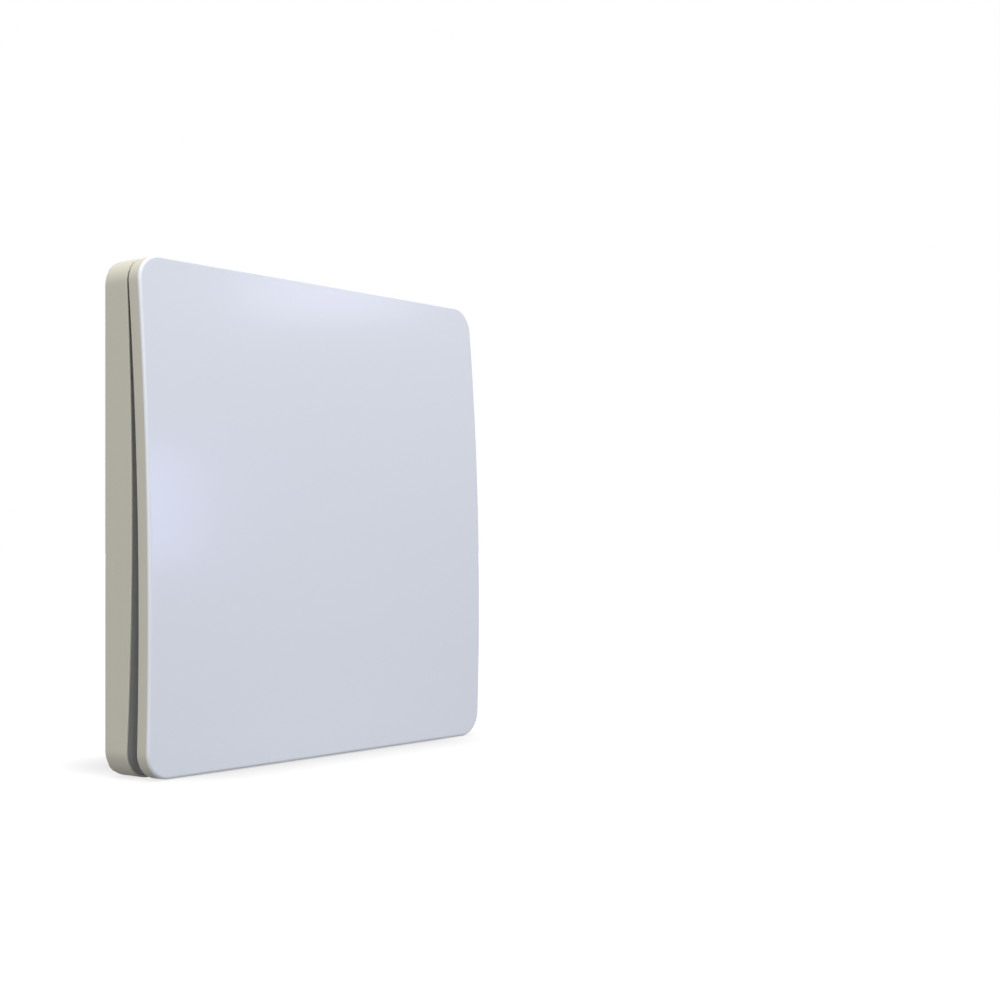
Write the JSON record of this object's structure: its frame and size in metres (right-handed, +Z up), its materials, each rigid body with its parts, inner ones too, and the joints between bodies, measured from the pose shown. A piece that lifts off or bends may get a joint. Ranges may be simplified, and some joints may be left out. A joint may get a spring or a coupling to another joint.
{
  "type": "wireless rocker wall switch",
  "caption": "Square slim wall switch: arched rocker that tips on a base with a dark frame, over a hook-driven generator and radio board.",
  "frame": {"origin": "middle of the wall face, on the rear of the wall plate", "axes": "+Z up on the wall, +X to the right for someone who faces the switch, +Y into the wall; the front looks along -Y"},
  "size_m": [0.086, 0.0113, 0.0861],
  "materials": {
    "warm_plastic": "satin warm grey moulded plastic",
    "white_gloss": "cool white, glossy with a rounded edge",
    "slate_plastic": "dark slate, matt",
    "dark_plastic": "near black, matt",
    "natural_plastic": "uncoloured moulded plastic",
    "foam_tape": "grey foam tape",
    "silicone": "soft grey silicone",
    "plated_metal": "bright plated metal",
    "spring_steel": "hardened strip and pin steel",
    "soft_iron": "grey iron sheet",
    "magnet_coating": "nickel coating",
    "copper_winding": "enamelled copper wire",
    "board_laminate": "green solder mask",
    "chip_black": "black moulding compound",
    "capacitor_body": "ochre moulded body"
  },
  "bodies": {
    "base": {"wall_plate": "dark_plastic", "adhesive_pads": "foam_tape", "base_shell": "warm_plastic", "mid_frame": "slate_plastic", "bumper_pads": "silicone", "pivot_pins": "spring_steel", "frame_screws": "plated_metal", "generator_tray": "dark_plastic", "iron_core": "soft_iron", "bobbin": "natural_plastic", "coil": "copper_winding", "core_clip": "plated_metal", "generator_screws": "plated_metal", "coil_leads": "copper_winding", "circuit_board": "board_laminate", "radio_chip": "chip_black", "crystal": "plated_metal", "rectifier": "chip_black", "storage_capacitors": "capacitor_body", "power_inductor": "chip_black", "antenna": "plated_metal"},
    "rocker": {"rocker_carrier": "warm_plastic", "rocker_face": "white_gloss"},
    "swing": {"magnet_carrier": "natural_plastic", "magnet": "magnet_coating", "front_pole_plate": "soft_iron", "rear_pole_plate": "soft_iron", "drive_spring": "spring_steel"}
  },
  "joints": [
    {"name": "rocker_tip", "type": "hinge", "parent": "base", "child": "rocker", "pos_m": [0, -0.0052, 0], "axis": [1, 0, 0], "range_deg": [0, 3.1]},
    {"name": "magnet_swing", "type": "hinge", "parent": "base", "child": "swing", "pos_m": [0, -0.0052, -0.011], "axis": [1, 0, 0], "range_deg": [0, 7.36]}
  ],
  "couplings": [
    {"joint": "magnet_swing", "follows": "rocker_tip", "ratio": 2.375}
  ]
}
